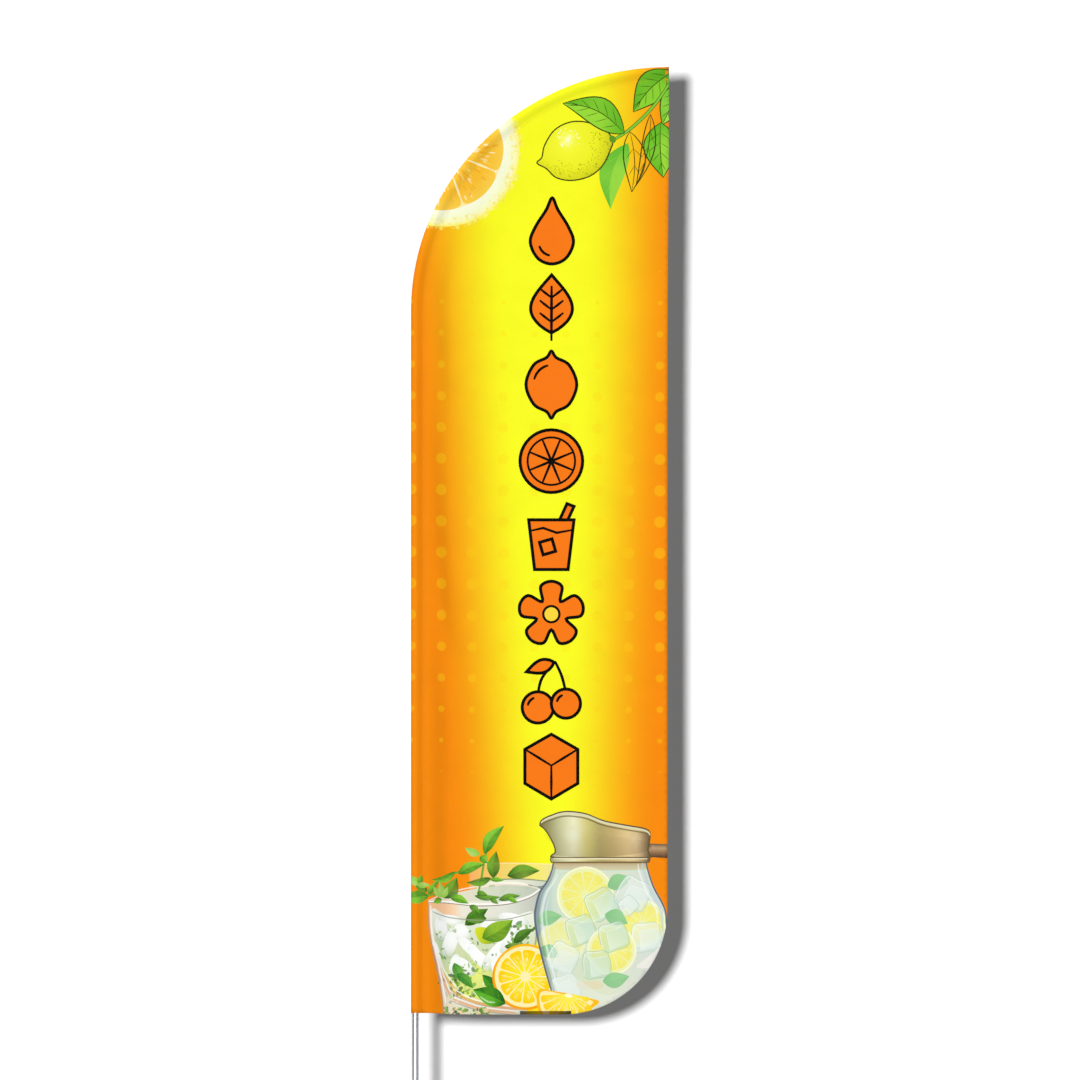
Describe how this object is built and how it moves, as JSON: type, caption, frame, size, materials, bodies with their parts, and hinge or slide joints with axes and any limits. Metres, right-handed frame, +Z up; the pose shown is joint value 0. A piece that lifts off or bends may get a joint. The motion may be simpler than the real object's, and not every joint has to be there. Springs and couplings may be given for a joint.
{
  "type": "feather flag with pole",
  "caption": "Tall windless feather flag with a curved top, sleeved on a bent plug-together pole that turns on a folding cross base.",
  "frame": {"origin": "on the floor under the pole's axis, at the middle of the base's centre pad", "axes": "+Z up along the pole, +X from the pole to the flag's free edge, printed face towards -Y"},
  "size_m": [1.2584, 0.6368, 4.065],
  "materials": {
    "printed_cloth": "dye-printed knitted polyester, orange to yellow",
    "webbing": "black woven webbing",
    "elastic_cord": "black braided elastic cord",
    "tube_alloy": "drawn and anodised, satin",
    "glass_fibre": "pultruded glass fibre",
    "black_nylon": "moulded, fine texture",
    "white_nylon": "natural nylon",
    "black_rubber": "moulded rubber",
    "plated_wire": "nickel plated",
    "zinc_steel": "zinc plated",
    "coated_steel": "black powder coat"
  },
  "bodies": {
    "base": {"leg_lower": "coated_steel", "feet_lower": "black_rubber", "foot_rivets_lower": "zinc_steel", "centre_pad": "black_rubber", "hub_bolt": "zinc_steel", "lock_washer": "zinc_steel", "pivot_washer": "white_nylon", "spindle_post": "zinc_steel", "thrust_ball": "plated_wire", "retaining_clip": "zinc_steel", "thrust_washer": "white_nylon"},
    "fold_leg": {"leg_upper": "coated_steel", "feet_upper": "black_rubber", "foot_rivets_upper": "zinc_steel"},
    "rotator": {"rotator_tube": "zinc_steel", "bush_lower": "white_nylon", "bush_upper": "white_nylon", "rotator_cap": "black_nylon"},
    "pole": {"flag_panel": "printed_cloth", "pole_sleeve": "printed_cloth", "tip_patch": "webbing", "tether_tab": "webbing", "pole_lower": "tube_alloy", "pole_middle": "tube_alloy", "pole_upper": "tube_alloy", "joint_ring_lower": "black_nylon", "joint_ring_upper": "black_nylon", "tip_ferrule": "tube_alloy", "pole_tip": "glass_fibre", "tip_cap": "black_rubber", "tab_ring": "plated_wire", "bungee_loop": "elastic_cord", "snap_hook": "plated_wire", "gate_pin": "plated_wire", "tie_collar": "black_nylon", "collar_screw": "zinc_steel"},
    "gate": {"hook_gate": "plated_wire"}
  },
  "joints": [
    {"name": "leg_fold", "type": "hinge", "parent": "base", "child": "fold_leg", "pos_m": [0, 0, 0.021], "axis": [0, 0, 1], "range_deg": [0, 80]},
    {"name": "flag_spin", "type": "hinge", "parent": "base", "child": "rotator", "pos_m": [0, 0, 0.04], "axis": [0, 0, 1], "continuous": true},
    {"name": "pole_lift", "type": "slide", "parent": "rotator", "child": "pole", "axis": [0, 0, 1], "range_m": [0, 0.15]},
    {"name": "gate_open", "type": "hinge", "parent": "pole", "child": "gate", "pos_m": [0.007, 0.023, 0.3128], "axis": [0, 1, 0], "range_deg": [0, 20], "stiffness_Nm_per_rad": 0.01}
  ]
}
